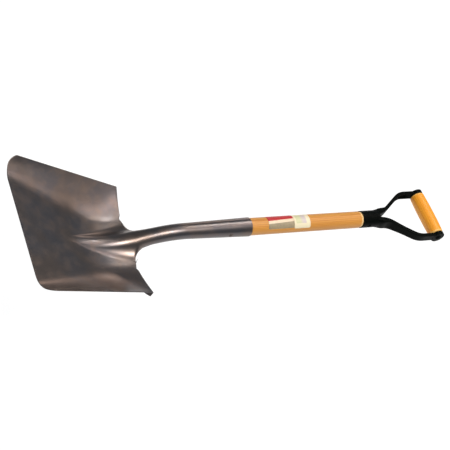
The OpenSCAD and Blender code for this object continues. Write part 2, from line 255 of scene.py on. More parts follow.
# ---------------------------------------------------------------- the blade's surface

def crest_h(s):
    """Height of the crest line over the plane of the floor: flat, then an arc, then the neck."""
    arc = bulge(CREST_R, s - FROG_START)
    straight = CREST_END_H + (s - CREST_END_S) * math.tan(NECK_RISE)
    return np.where(s < FROG_START, 0, np.where(s < CREST_END_S, arc, straight))


def crest_slope(s):
    arc = np.arcsin(np.clip((s - FROG_START) / CREST_R, 0, 1))
    return np.where(s < CREST_END_S, arc, NECK_RISE)


def floor_h(s):
    return np.where(s < DISH_START, 0, bulge(DISH_R, s - DISH_START))


def foot_y(s):
    return mix(FOOT_REAR_Y, FOOT_FRONT_Y, clamp01(1 - s / FOOT_SETTLE_S) ** FOOT_POWER)


def frog_w(s):
    return mix(FROG_TIP_HALF_W, FROG_HALF_W, clamp01((s - FROG_START) / (BLADE_L - FROG_START)))


def frog_depth(s):
    return np.maximum((crest_h(s) - floor_h(s)) * np.cos(crest_slope(s)), 1e-3)


def frog_sum_r(s):
    return (frog_w(s) ** 2 + frog_depth(s) ** 2) / (2 * frog_depth(s))


def frog_angle(s):
    body_angle = np.arccos(1 - frog_depth(s) / frog_sum_r(s))
    return mix(body_angle, TONGUE_WRAP, smooth((s - BLADE_L) / EDGE_FILLET_R))


NECK_SHARE = NECK_R / float(frog_sum_r(np.array(float(TONGUE_S))))


def crest_share(s):
    """How much of a side's two arcs is the one over the crest: more at the tip than at the neck."""
    return mix(TIP_SHARE, NECK_SHARE, smooth((s - FROG_START) / (TONGUE_S - FROG_START)))


def crest_point(s, t):
    """y and height at a share t of the arc over the crest."""
    r = crest_share(s) * frog_sum_r(s)
    a = frog_angle(s) * t
    return r * np.sin(a), crest_h(s) - r * (1 - np.cos(a)) / np.cos(crest_slope(s))


def fillet_point(s, t):
    """y and height at a share t of the arc that runs from the crest's flank into the floor."""
    r = (1 - crest_share(s)) * frog_sum_r(s)
    a = frog_angle(s)
    b = a * (1 - t)
    y = frog_sum_r(s) * np.sin(a) - r * np.sin(b)
    depth = frog_sum_r(s) * (1 - np.cos(a)) - r * (1 - np.cos(b))
    return y, crest_h(s) - depth / np.cos(crest_slope(s))


def floor_point(s, t):
    y, h = fillet_point(s, 1)
    return mix(y, foot_y(s), t), mix(h, floor_h(s), t)


def wall_point(s, t):
    """y and height up the wall's curve, from its foot over a knee to its top edge."""
    top_y = mix(BLADE_FRONT_W, BLADE_REAR_W, s / BLADE_L) / 2
    top_h = mix(WALL_FRONT_H, WALL_REAR_H, s / BLADE_L)
    knee_y = mix(foot_y(s), top_y, mix(FOLD_FRONT, FOLD_REAR, clamp01(s / BLADE_L)))
    y = (1 - t) ** 2 * foot_y(s) + 2 * t * (1 - t) * knee_y + t * t * top_y
    h = (1 - t) ** 2 * floor_h(s) + 2 * t * (1 - t) * floor_h(s) + t * t * top_h
    return y, h


ZONES = [(crest_point, CREST_COLS), (fillet_point, FILLET_COLS), (floor_point, FLOOR_COLS),
         (wall_point, WALL_COLS)]


def section(s):
    """y and height of every column from the middle outwards; s has one column per grid column."""
    ys, hs, first = [], [], 0
    for place, count in ZONES:
        start = 0 if first == 0 else 1
        shares = np.arange(start, count + 1) / count
        y, h = place(s[:, first + start:first + count + 1], shares)
        ys.append(y)
        hs.append(h)
        first += count
    return np.concatenate(ys, 1), np.concatenate(hs, 1)


BEND_END = ahead(0.0) * SOCKET_L + np.array([-NECK_BEND_R * math.sin(NECK_DIP),
                                              -NECK_BEND_R * (1 - math.cos(NECK_DIP))])
CREST_END = BEND_END + NECK_R * up_from(NECK_DIP) + NECK_L * ahead(NECK_DIP)
FROG_TIP = CREST_END + CREST_R * (up_from(NECK_DIP) - up_from(-LIFT))
FRONT_EDGE = FROG_TIP + FROG_START * ahead(-LIFT)


def floor_place(s, y, h):
    """Points of the floor's own frame, placed in the shovel's frame."""
    place = FRONT_EDGE - s[..., None] * ahead(-LIFT) + h[..., None] * up_from(-LIFT)
    return np.stack([place[..., 0], y, place[..., 1]], -1)


def front_s():
    """How far each column's front end stands back: the top corners of the walls are rounded."""
    wall_len = math.hypot(BLADE_FRONT_W / 2 - FOOT_FRONT_Y, WALL_FRONT_H)
    below_top = wall_len * (HALF_COLS - np.arange(HALF_COLS + 1)) / WALL_COLS
    return bulge(FRONT_CORNER_R, np.maximum(0, FRONT_CORNER_L - below_top))


def beside_neck():
    """Distance of each column from the side of the neck, along the rear edge."""
    rear = np.full((1, HALF_COLS + 1), float(BLADE_L))
    s = rear[0, 0]
    fillet_len = (1 - crest_share(s)) * frog_sum_r(s) * frog_angle(s)
    beside = fillet_len + section(rear)[0][0] - frog_w(s)
    beside[:CREST_COLS] = 0
    beside[CREST_COLS:CREST_COLS + FILLET_COLS + 1] = fillet_len * np.arange(FILLET_COLS + 1) / FILLET_COLS
    return beside


BESIDE_NECK = beside_neck()
LIP_FIRST = int(np.argmax(BESIDE_NECK >= EDGE_FILLET_R))


def fillet_s():
    """How far each column runs past the rear edge, in the outline's fillet beside the neck."""
    return bulge(EDGE_FILLET_R, np.maximum(0, EDGE_FILLET_R - BESIDE_NECK))


def lip_shares():
    """Share of the turned step's length at each of its columns, out to the blade's corner."""
    beside = BESIDE_NECK[LIP_FIRST:]
    return (beside - beside[0]) / (beside[-1] - beside[0])


def lip_angles():
    """How far each column of the step is turned: little beside the neck, then fully."""
    return mix(LIP_FIRST_TURN, LIP_TURN, smooth(3 * lip_shares()))


def lip_lengths():
    """Length of the step's flat part at each column."""
    return LIP_MIN_L + STEP_L * np.sin(LIP_ARC * lip_shares())


def lip_back():
    """Room that the step takes up behind each column's end, so that it stays inside the outline."""
    room = np.zeros(HALF_COLS + 1)
    bend = LIP_R * np.sin(np.minimum(math.pi / 2, lip_angles()))
    room[LIP_FIRST:] = bend + lip_lengths() * np.maximum(0, np.cos(lip_angles()))
    return room


def body_points(t):
    """Half of the blade at shares t of its length, from the middle column outwards."""
    late = clamp01((t - EDGE_FILLET_START) / (1 - EDGE_FILLET_START))[:, None]
    s = mix(front_s()[None], BLADE_L, t[:, None]) + (fillet_s() - lip_back())[None] * late ** 2
    y, h = section(s)
    return floor_place(s, y, h)


def tongue_points():
    """Half of the neck and the socket, row by row towards the mouth, over the crest's columns."""
    along = TONGUE_L * (1 - np.arange(1, TONGUE_ROWS + 1) / TONGUE_ROWS)[:, None]
    dip = NECK_DIP * clamp01((along - SOCKET_L) / BEND_L)
    bend = np.concatenate([-SOCKET_L - NECK_BEND_R * np.sin(dip), -NECK_BEND_R * (1 - np.cos(dip))], 1)
    axis = np.where(along < SOCKET_L, np.concatenate([-along, 0 * along], 1),
                    bend + np.maximum(0, along - SOCKET_L - BEND_L) * ahead(NECK_DIP))
    r = mix(SOCKET_R, NECK_R, clamp01(along / SOCKET_L))
    wrap = mix(TONGUE_WRAP, SEAM_HALF_ANGLE, smooth((TONGUE_L - along) / WRAP_L))
    a = wrap * np.arange(CREST_COLS + 1) / CREST_COLS
    depth = r * (1 - np.cos(a))
    lean = NECK_RISE * clamp01(1 - (TONGUE_L - along) / FAN_L)
    place = (axis[:, None] + (r - depth)[..., None] * up_from(dip)
             + (depth * np.tan(lean))[..., None] * ahead(dip))
    return np.stack([place[..., 0], r * np.sin(a), place[..., 1]], -1)


def lip_points(edge, before):
    """Half of the rear edge's turned-down step, cut back at its corner, over the outer columns."""
    back = unit(edge - before)
    across = unit(np.gradient(edge, axis=0))
    up = unit(np.cross(back, across))
    flat_l = lip_lengths()[:, None]
    full_turn = lip_angles()[:, None]
    rows = []
    for row in range(1, LIP_ROWS + 1):
        turn = full_turn * min(1, row / LIP_ARC_ROWS)
        flat = flat_l * max(0, row - LIP_ARC_ROWS) / LIP_FLAT_ROWS
        rows.append(edge + (LIP_R * np.sin(turn) + flat * np.cos(turn)) * back
                    - (LIP_R * (1 - np.cos(turn)) + flat * np.sin(turn)) * up)
    return np.stack(rows)


def sheet_grid():
    """The upper surface as a grid of points, NaN where the grid holds no steel."""
    shares = np.arange(BODY_ROWS + 1) / BODY_ROWS
    body = body_points(shares)
    before = body_points(np.array([1 - 0.01]))[0]
    half = np.full((BODY_ROWS + TONGUE_ROWS + 1, HALF_COLS + 1, 3), np.nan)
    half[:BODY_ROWS + 1] = body
    half[BODY_ROWS + 1:, :CREST_COLS + 1] = tongue_points()
    lip = lip_points(body[-1, LIP_FIRST:], before[LIP_FIRST:])
    half[BODY_ROWS + 1:BODY_ROWS + 1 + LIP_ROWS, LIP_FIRST:] = lip
    other_half = half[:, :0:-1] * np.array([1, -1, 1])
    return np.concatenate([other_half, half], 1)


def sheet_solid(grid, thickness):
    """Points and faces of a sheet of steel whose upper surface is the grid."""
    rows, cols = grid.shape[:2]
    steel = ~np.isnan(grid[..., 0])
    ids = np.full((rows, cols), -1)
    ids[steel] = np.arange(steel.sum())
    top = grid[steel]
    # Columns of the neck and of the lip are neighbours in the grid but not in the steel
    middle = cols // 2
    crest = np.abs(np.arange(cols - 1) + 0.5 - middle) < CREST_COLS
    lip = np.abs(np.arange(cols - 1) + 0.5 - middle) > LIP_FIRST
    cell = steel[:-1, :-1] & steel[1:, :-1] & steel[:-1, 1:] & steel[1:, 1:]
    cell[BODY_ROWS:] &= (crest | lip)[None]
    r, c = np.nonzero(cell)
    quads = np.stack([ids[r, c], ids[r + 1, c], ids[r + 1, c + 1], ids[r, c + 1]], 1)
    diagonals = np.cross(top[quads[:, 2]] - top[quads[:, 0]], top[quads[:, 3]] - top[quads[:, 1]])
    normals = np.zeros_like(top)
    for corner in range(4):
        np.add.at(normals, quads[:, corner], diagonals)
    under = top - thickness * unit(normals)
    count = len(top)
    faces = [tuple(q) for q in quads] + [tuple(reversed(q + count)) for q in quads]
    edges = {(int(q[i]), int(q[(i + 1) % 4])) for q in quads for i in range(4)}
    rims = sorted(e for e in edges if (e[1], e[0]) not in edges)
    faces += [(b, a, a + count, b + count) for a, b in rims]
    return np.concatenate([top, under]), faces


def make_blade():
    """The pressed sheet, with its cut edges slightly rounded."""
    points, faces = sheet_solid(sheet_grid(), SHEET_T)
    blade = new_piece("blade_sheet", points, faces, "shovel")
    round_edges(blade, SHEET_EDGE, segments=3, angle=55)
    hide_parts("blade")
    return blade


# ---------------------------------------------------------------- shaft and grip

END_CHAMFER = 1
SWELL_START_X = -0.4
SWELL_KNEE_X = 0.3
SWELL_KNEE_H = 0.15
SWELL_END_X = 1.2
BARE_START_X = 3
BARE_RINGS = 60
SHAFT_CHAMFER_L = 4
SHAFT_CHAMFER_CURVE_L = 0.4
SHAFT_CHAMFER_H = 1.1
SHAFT_EDGE = 0.3
SOCKET_GAP = 0.25
SHOULDER_GAP = 0.1
TENON_R = 17.7
GRIP_TAPER = 1.3
GRIP_END_R = 3.2
GRIP_BORE_R = 4.1


def make_shaft():
    """Wood: the tapered tip, the bare shaft with a bevelled shoulder, and the tenon."""
    tip_x = shaft_low.x
    tip_r = mix(SOCKET_R, NECK_R, -tip_x / SOCKET_L) - SHEET_T - SOCKET_GAP
    mouth_r = SOCKET_R - SHEET_T - SOCKET_GAP
    shoulder_x = FERRULE_X - SHOULDER_GAP
    shoulder_r = SHAFT_R - SHAFT_CHAMFER_H
    # The wood swells from the socket's inner radius to its own just past the mouth, at x = 0
    profile = [[tip_x, tip_r - END_CHAMFER], [tip_x + END_CHAMFER, tip_r], [SWELL_START_X, mouth_r],
               [SWELL_KNEE_X, SHAFT_R - SWELL_KNEE_H], [SWELL_END_X, SHAFT_R]]
    profile += [[x, SHAFT_R] for x in np.linspace(BARE_START_X, shoulder_x - SHAFT_CHAMFER_L, BARE_RINGS)]
    profile += [[shoulder_x - SHAFT_CHAMFER_CURVE_L, shoulder_r], [shoulder_x, shoulder_r - SHAFT_EDGE],
                [shoulder_x, TENON_R], [TENON_END_X - END_CHAMFER, TENON_R],
                [TENON_END_X, TENON_R - END_CHAMFER]]
    points, faces = turned(profile)
    shaft = new_piece("shaft_wood", points, faces, "shovel")
    round_edges(shaft, SHAFT_EDGE, segments=2, angle=30)
    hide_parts("shaft")
    return shaft


def to_grip(points):
    """Turns points made round the X axis so that they lie round the grip's axis."""
    return np.stack([GRIP_X + points[:, 1], points[:, 0], -points[:, 2]], 1)


def make_grip():
    """A turned wooden bar, slightly fuller in the middle, with eased ends and a bore for its rod."""
    belly_r = (GRIP_HALF_L ** 2 + GRIP_TAPER ** 2) / (2 * GRIP_TAPER)
    straight = GRIP_HALF_L - GRIP_END_R
    end_r = GRIP_R - bulge(belly_r, straight)
    angles = np.linspace(0, math.pi / 2, 9)
    right = [[straight + GRIP_END_R * math.sin(a), end_r - GRIP_END_R * (1 - math.cos(a))] for a in angles]
    left = [[-x, r] for x, r in reversed(right)]
    side = [[x, GRIP_R - bulge(belly_r, x)] for x in np.linspace(-straight, straight, 42)[1:-1]]
    profile = [[-GRIP_HALF_L, GRIP_BORE_R]] + left + side + right + [[GRIP_HALF_L, GRIP_BORE_R]]
    points, faces = turned(profile, closed=True)
    grip = new_piece("grip_wood", to_grip(points), faces, "grip")
    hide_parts("grip")
    return grip


# ---------------------------------------------------------------- yoke

ARM_H = 21.5
ARM_T = 9
EYE_T = 9.6
WEB_T = 2.6
FLANGE_T = 2.6
ARM_ROOT_T = 12.6
ARM_AHEAD = 7.5
ARM_SPREAD = math.radians(34)
ARM_BEND_R = 50
EYE_HOLE_R = 4.05
EYE_EDGE_T = 0.6
EYE_EDGE_R = 1
FERRULE_CAP_T = 8
FERRULE_END_X = TENON_END_X + FERRULE_CAP_T
FERRULE_EDGE = 0.7
FERRULE_END_L = 3
FERRULE_END_H = 2.5
TENON_GAP = 0.02
# Ferrule's inner radius at its solid end; nearly nothing, and closed when the yoke is welded
AXIS_R = 0.01
ARM_Y = yoke_high.y - EYE_T / 2
ARM_START = np.array([FERRULE_END_X + ARM_AHEAD, FERRULE_R - ARM_ROOT_T / 2])
ARM_STATIONS = 60
ARM_SIDES = 64
CHANNEL_RAMP = 12
ROOT_L = 44
TALL_L = 85
ROOT_Y = FERRULE_R / 2
ROOT_INSET_T = 0.2
ROOT_INSET_H = 0.6
ELLIPSE_POWER = 2.0
BOX_POWER = 8.0
WELD_VOXEL = 0.8


def arm_centreline():
    """Points in plan from inside the ferrule to the grip: straight, out, straight, back, straight."""
    slope_rise = ARM_Y - ARM_START[1] - 2 * ARM_BEND_R * (1 - math.cos(ARM_SPREAD))
    knee_x = ARM_START[0] + 2 * ARM_BEND_R * math.sin(ARM_SPREAD) + slope_rise / math.tan(ARM_SPREAD)
    angles = np.linspace(0, ARM_SPREAD, 16)
    out = [ARM_START + ARM_BEND_R * np.array([math.sin(a), 1 - math.cos(a)]) for a in angles]
    back = [np.array([knee_x - ARM_BEND_R * math.sin(a), ARM_Y - ARM_BEND_R * (1 - math.cos(a))])
            for a in reversed(angles)]
    start = [np.array([TENON_END_X, ARM_START[1]])]
    return np.array(start + out + back + [np.array([GRIP_X, ARM_Y])])


def even_stations(path, count):
    """The path again, at evenly spaced stations, with the distance of each one along it."""
    steps = np.linalg.norm(np.diff(path, axis=0), axis=1)
    at = np.concatenate([[0], np.cumsum(steps)])
    stations = np.linspace(0, at[-1], count)
    return np.stack([np.interp(stations, at, path[:, k]) for k in (0, 1)], 1), stations


def arm_shape():
    """An arm lofted from the ferrule's round end to a channel that is open on its inner side."""
    path, at = even_stations(arm_centreline(), ARM_STATIONS)
    along = unit(np.gradient(path, axis=0))
    across = np.stack([-along[:, 1], along[:, 0]], 1)
    share = smooth(at / ROOT_L)
    path[:, 1] = mix(ROOT_Y, path[:, 1], smooth(at / ROOT_L * 2))
    # The root stays just inside the ferrule's round end
    root_half_t = ROOT_Y - ROOT_INSET_T
    root_half_h = math.sqrt(FERRULE_R ** 2 - ROOT_Y ** 2) - ROOT_INSET_H
    half_t = mix(root_half_t, ARM_T / 2, share)
    half_h = mix(root_half_h, ARM_H / 2, smooth(at / TALL_L))
    # The section is an ellipse at the root and nearly a rectangle further out
    power = mix(ELLIPSE_POWER, BOX_POWER, share)
    channel_end = at[-1] - EYE_R - 1
    channel = smooth((at - ROOT_L) / CHANNEL_RAMP) * smooth((channel_end - at) / CHANNEL_RAMP)
    rings = []
    for i in range(ARM_STATIONS):
        a = np.linspace(0, 2 * math.pi, ARM_SIDES, endpoint=False)
        side = half_t[i] * np.sign(np.cos(a)) * np.abs(np.cos(a)) ** (2 / power[i])
        height = half_h[i] * np.sign(np.sin(a)) * np.abs(np.sin(a)) ** (2 / power[i])
        hollow = (side < 0) & (np.abs(height) < half_h[i] - FLANGE_T)
        side = np.where(hollow, mix(side, half_t[i] - WEB_T, channel[i]), side)
        ring = path[i] + side[:, None] * across[i]
        rings.append(np.concatenate([ring, height[:, None]], 1))
    points = np.concatenate(rings)
    return points, turned_faces(ARM_STATIONS, ARM_SIDES, closed=False)


def eye_shape():
    """The round eye at the end of an arm, with a hole for the grip's rod."""
    inner = ARM_Y - EYE_T / 2
    outer = ARM_Y + EYE_T / 2
    profile = [[inner, EYE_HOLE_R], [inner, EYE_R - EYE_EDGE_R], [inner + EYE_EDGE_T, EYE_R],
               [outer - EYE_EDGE_T, EYE_R], [outer, EYE_R - EYE_EDGE_R], [outer, EYE_HOLE_R]]
    points, faces = turned(profile, segments=64, closed=True)
    return to_grip(points), faces


def mirrored(shape):
    """The same shape on the other side of the shovel's middle plane."""
    points, faces = shape
    return points * np.array([1, -1, 1]), [tuple(reversed(face)) for face in faces]


def make_yoke():
    """Ferrule, arms and eyes, welded into one casting with softened inside corners."""
    bore = TENON_R + TENON_GAP
    bottom = TENON_END_X + SHOULDER_GAP
    ferrule = turned([[bottom, AXIS_R], [bottom, bore], [FERRULE_X, bore],
                      [FERRULE_X, FERRULE_R - FERRULE_EDGE], [FERRULE_X + FERRULE_EDGE, FERRULE_R],
                      [FERRULE_END_X - FERRULE_END_L, FERRULE_R],
                      [FERRULE_END_X, FERRULE_R - FERRULE_END_H],
                      [FERRULE_END_X, AXIS_R]], closed=True)
    parts = [ferrule, arm_shape(), mirrored(arm_shape()), eye_shape(), mirrored(eye_shape())]
    points, faces = joined(parts)
    yoke = new_piece("yoke_casting", points, faces, "shovel")
    add_modifier(yoke, "Weld", "REMESH", mode="VOXEL", voxel_size=WELD_VOXEL * MM, use_smooth_shade=True)
    add_modifier(yoke, "Soften", "SMOOTH", factor=0.5, iterations=4)
    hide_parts("yoke")
    return yoke


# ---------------------------------------------------------------- labels

LABEL_T = 0.25
LABEL_LIFT = 0.02
LABEL_CORNER_R = 3
LABEL_ROWS = 48
LABEL_COLS = 40
FAR_ANGLE = 50
FRONT_LABEL_ANGLE = 60
REAR_LABEL_ANGLE = 66


def make_label(name, node, near_angle):
    """A paper label wrapped over the shaft, to an angle from the top on each side, with rounded corners."""
    low, high = box_mm(node)
    rows, cols = LABEL_ROWS, LABEL_COLS
    inner = SHAFT_R + LABEL_LIFT
    outer = inner + LABEL_T
    v = np.linspace(0, 1, rows)
    angle = np.radians(mix(-near_angle, FAR_ANGLE, v))
    from_end = np.minimum(angle - angle[0], angle[-1] - angle) * outer
    inset = bulge(LABEL_CORNER_R, np.maximum(0, LABEL_CORNER_R - from_end))
    u = np.linspace(0, 1, cols)
    x = mix(low.x + inset[:, None], high.x - inset[:, None], u[None])
    points = []
    for r in (outer, inner):
        y = np.repeat((r * np.sin(angle))[:, None], cols, 1)
        z = np.repeat((r * np.cos(angle))[:, None], cols, 1)
        points.append(np.stack([x, y, z], -1).reshape(-1, 3))
    count = rows * cols
    ids = np.arange(count).reshape(rows, cols)
    quads = np.stack([ids[:-1, :-1], ids[:-1, 1:], ids[1:, 1:], ids[1:, :-1]], -1).reshape(-1, 4)
    faces = [tuple(q) for q in quads] + [tuple(reversed(q + count)) for q in quads]
    border = list(ids[0]) + list(ids[1:, -1]) + list(ids[-1, -2::-1]) + list(ids[-2:0:-1, 0])
    faces += [(b, a, a + count, b + count) for a, b in zip(border, border[1:] + border[:1])]
    label = new_piece(name, np.concatenate(points), faces, "shovel")
    layer = label.data.uv_layers.new(name="sheet")
    at = {i: (u[i % count % cols], v[i % count // cols]) for i in range(2 * count)}
    for loop in label.data.loops:
        layer.data[loop.index].uv = at[loop.vertex_index]
    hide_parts(node)
    return label


# ---------------------------------------------------------------- material nodes

class Material:
    """A node material with short calls for the nodes that the finishes share."""

    def __init__(self, name):
        self.material = bpy.data.materials.new(name)
        self.material.use_nodes = True
        self.tree = self.material.node_tree
        self.shader = self.tree.nodes["Principled BSDF"]
        self.place = self.node("ShaderNodeTexCoord").outputs["Object"]

    def node(self, kind, inputs=None, **settings):
        """A new node; inputs are given by name or number, as values or as outputs of other nodes."""
        made = self.tree.nodes.new(kind)
        for key, value in settings.items():
            setattr(made, key, value)
        for key, value in (inputs or {}).items():
            self.put(made.inputs[key], value)
        return made

    def put(self, socket, value):
        if isinstance(value, bpy.types.NodeSocket):
            self.tree.links.new(value, socket)
        else:
            socket.default_value = value

    def set(self, **values):
        """Sets inputs of the shader itself; an underscore stands for a space."""
        for key, value in values.items():
            self.put(self.shader.inputs[key.replace("_", " ")], value)

    def maths(self, operation, a, b=0.0):
        return self.node("ShaderNodeMath", {0: a, 1: b}, operation=operation).outputs[0]

    def stretched(self, scale, vector=None):
        made = self.node("ShaderNodeVectorMath", {0: vector or self.place, 1: scale}, operation="MULTIPLY")
        return made.outputs[0]

    def noise(self, scale, detail=4.0, roughness=0.5, vector=None, distortion=0.0):
        inputs = {"Vector": vector or self.place, "Scale": scale, "Detail": detail,
                  "Roughness": roughness, "Distortion": distortion}
        return self.node("ShaderNodeTexNoise", inputs).outputs["Fac"]

    def levels(self, value, low, high, to_low=0.0, to_high=1.0):
        """Goes smoothly from to_low to to_high while the value goes from low to high."""
        made = self.node("ShaderNodeMapRange", {"Value": value, "From Min": low, "From Max": high,
                                                "To Min": to_low, "To Max": to_high},
                         interpolation_type="SMOOTHSTEP")
        return made.outputs[0]

    def blend(self, share, a, b):
        """Colour a where the share is 0 and colour b where it is 1."""
        made = self.node("ShaderNodeMix", data_type="RGBA", clamp_factor=True)
        self.put(made.inputs[0], share)
        self.put(made.inputs[6], self.colour(a))
        self.put(made.inputs[7], self.colour(b))
        return made.outputs[2]

    def colour(self, value):
        return (*value, 1.0) if isinstance(value, tuple) and len(value) == 3 else value

    def bump(self, height, depth, normal=None):
        """Relief from a height of 0 to 1; depth is in millimetres and sinks where it is negative."""
        inputs = {"Height": height, "Distance": depth * MM, "Strength": 1.0}
        if normal is not None:
            inputs["Normal"] = normal
        return self.node("ShaderNodeBump", inputs).outputs[0]

    def coordinate(self, axis, vector=None):
        return self.node("ShaderNodeSeparateXYZ", {0: vector or self.place}).outputs[axis]


def srgb(red, green, blue):
    """A colour given as it looks on a screen, from 0 to 255, as the linear values that nodes take."""
    def linear(c):
        c /= 255
        return c / 12.92 if c <= 0.04045 else ((c + 0.055) / 1.055) ** 2.4
    return (linear(red), linear(green), linear(blue))


def blade_steel():
    """Heat-treated sheet under satin lacquer: mottled grey and brown, fine rolling marks, scuffed edges."""
    m = Material("blade_steel")
    cloud = m.noise(9, detail=3, roughness=0.55)
    mottle = m.noise(48, detail=5, roughness=0.55, distortion=0.4)
    speck = m.noise(1400, detail=2)
    rolled = m.noise(1, detail=4, vector=m.stretched((60, 1500, 1500)))
    base = m.blend(m.levels(cloud, 0.38, 0.62), (0.106, 0.097, 0.102), (0.138, 0.107, 0.092))
    base = m.blend(m.levels(mottle, 0.42, 0.75, 0, 0.5), base, (0.166, 0.122, 0.100))
    base = m.blend(m.levels(speck, 0.55, 0.75, 0, 0.2), base, (0.10, 0.09, 0.09))
    edge = m.node("ShaderNodeNewGeometry").outputs["Pointiness"]
    worn = m.maths("MULTIPLY", m.levels(edge, 0.56, 0.64), m.levels(mottle, 0.4, 0.6, 0.2, 1.0))
    base = m.blend(m.maths("MULTIPLY", worn, 0.4), base, (0.35, 0.32, 0.30))
    m.set(Base_Color=base, Metallic=0.9, Coat_Weight=0.15, Coat_Roughness=0.25)
    m.set(Roughness=m.levels(mottle, 0.3, 0.75, 0.31, 0.39))
    fine = m.bump(rolled, 0.01)
    pitted = m.bump(speck, 0.008, normal=fine)
    m.set(Normal=m.bump(m.noise(26, detail=2), 0.2, normal=pitted))
    return m.material


PITH_ACROSS = 31
PITH_BELOW = 47
RING_SWAY = 12


def wood(name, pale, tan, dark, along, ring_mm, seed):
    """Varnished ash: growth rings cut lengthwise, long fibres and open pores."""
    m = Material(name)
    moved = m.node("ShaderNodeVectorMath", {0: m.place, 1: (seed, seed * 0.7, seed * 0.4)}, operation="ADD")
    place = moved.outputs[0]

    def grain(lengthwise, crosswise):
        scale = [crosswise] * 3
        scale["XYZ".index(along)] = lengthwise
        return m.stretched(scale, place)

    sway = m.noise(1, detail=2, vector=grain(2.2, 30))
    across = m.coordinate("Y" if along == "X" else "X")
    height = m.coordinate("Z")
    # The pith lies well outside the bar, so the rings are long shallow arches on its surface
    from_pith_across = m.maths("ADD", across, PITH_ACROSS * MM)
    from_pith_z = m.maths("ADD", height, PITH_BELOW * MM)
    radius = m.maths("SQRT", m.maths("ADD", m.maths("MULTIPLY", from_pith_across, from_pith_across),
                                     m.maths("MULTIPLY", from_pith_z, from_pith_z)))
    wavy = m.maths("ADD", radius, m.maths("MULTIPLY", sway, RING_SWAY * MM))
    phase = m.maths("FRACT", m.maths("DIVIDE", wavy, ring_mm * MM))
    late_wood = m.levels(phase, 0.55, 0.98)
    early = m.levels(phase, 0.0, 0.12, 1.0, 0.0)
    ring = m.maths("MAXIMUM", late_wood, early)
    fibre = m.noise(1, detail=5, roughness=0.6, vector=grain(14, 900))
    pore = m.noise(1, detail=2, vector=grain(70, 2600))
    broad = m.noise(5, detail=2, vector=place)
    base = m.blend(m.levels(fibre, 0.3, 0.7), pale, tan)
    base = m.blend(m.maths("MULTIPLY", ring, 0.55), base, dark)
    base = m.blend(m.levels(broad, 0.4, 0.7, 0, 0.25), base, dark)
    pores = m.maths("MULTIPLY", m.levels(pore, 0.62, 0.72), m.levels(ring, 0.2, 0.9, 0.15, 0.6))
    base = m.blend(pores, base, tuple(c * 0.45 for c in dark))
    m.base = base
    m.set(Base_Color=base, Roughness=m.levels(fibre, 0.3, 0.7, 0.42, 0.54), Coat_Weight=0.05,
          Coat_Roughness=0.25)
    sunk = m.bump(pores, -0.05)
    m.set(Normal=m.bump(fibre, 0.03, normal=sunk))
    return m


def shaft_wood():
    """The shaft's varnish stops at the bevelled shoulder, which shows pale bare wood."""
    m = wood("shaft_wood", srgb(204, 146, 62), srgb(192, 128, 46), srgb(168, 100, 34),
             along="X", ring_mm=3.4, seed=0.3)
    x = m.coordinate("X")
    bare_from = (FERRULE_X - SHAFT_CHAMFER_L - 1.5) * MM
    bare = m.levels(x, bare_from, bare_from + 1.0 * MM)
    m.set(Base_Color=m.blend(m.maths("MULTIPLY", bare, 0.85), m.base, srgb(222, 190, 136)))
    return m.material


def grip_wood():
    """The grip's wood is more orange than the shaft's, and bare and paler at its ends."""
    m = wood("grip_wood", srgb(236, 162, 38), srgb(226, 146, 26), srgb(214, 116, 18),
             along="Y", ring_mm=3.0, seed=1.7)
    y = m.maths("ABSOLUTE", m.coordinate("Y"))
    end = m.levels(y, (GRIP_HALF_L - 6) * MM, (GRIP_HALF_L - 1) * MM)
    m.set(Base_Color=m.blend(m.maths("MULTIPLY", end, 0.7), m.base, srgb(232, 190, 110)))
    return m.material


def black_paint(name, worn_share):
    """Glossy black enamel over a rough casting, rubbed thin on its edges."""
    m = Material(name)
    peel = m.noise(900, detail=2)
    grain = m.noise(260, detail=5, roughness=0.65)
    edge = m.node("ShaderNodeNewGeometry").outputs["Pointiness"]
    worn = m.maths("MULTIPLY", m.levels(edge, 0.54, 0.62), m.levels(grain, 0.45, 0.62))
    base = m.blend(m.levels(grain, 0.35, 0.7), (0.0008, 0.0013, 0.0010), (0.0020, 0.0032, 0.0024))
    base = m.blend(m.maths("MULTIPLY", worn, worn_share), base, srgb(92, 94, 92))
    m.set(Base_Color=base, Roughness=m.levels(grain, 0.3, 0.7, 0.36, 0.5), Specular_IOR_Level=0.04)
    cast = m.bump(grain, 0.08)
    m.set(Normal=m.bump(peel, 0.015, normal=cast))
    return m.material


def rivet_steel():
    """The socket's rivet: steel in the blade's tones, mottled lighter and darker."""
    m = Material("rivet_steel")
    grain = m.noise(420, detail=5, roughness=0.6)
    base = m.blend(m.levels(grain, 0.35, 0.7), srgb(84, 76, 74), srgb(120, 104, 96))
    m.set(Base_Color=base, Metallic=0.75, Roughness=m.levels(grain, 0.3, 0.7, 0.34, 0.5))
    m.set(Normal=m.bump(grain, 0.06))
    return m.material


def paper(name):
    """What both labels share: the place on the sheet, the paper's fibres and its scuffs."""
    m = Material(name)
    m.sheet = m.node("ShaderNodeUVMap", uv_map="sheet").outputs[0]
    m.fibre = m.noise(1600, detail=3)
    m.scuff = m.noise(140, detail=6, roughness=0.7)
    return m


def finish_paper(m, base):
    """Scuffs over the print, under a thin gloss."""
    base = m.blend(m.levels(m.scuff, 0.58, 0.74, 0, 0.35), base, srgb(200, 178, 146))
    m.set(Base_Color=base, Roughness=m.levels(m.scuff, 0.3, 0.7, 0.42, 0.58), Coat_Weight=0.2,
          Coat_Roughness=0.3)
    m.set(Normal=m.bump(m.fibre, 0.02))
    return m.material


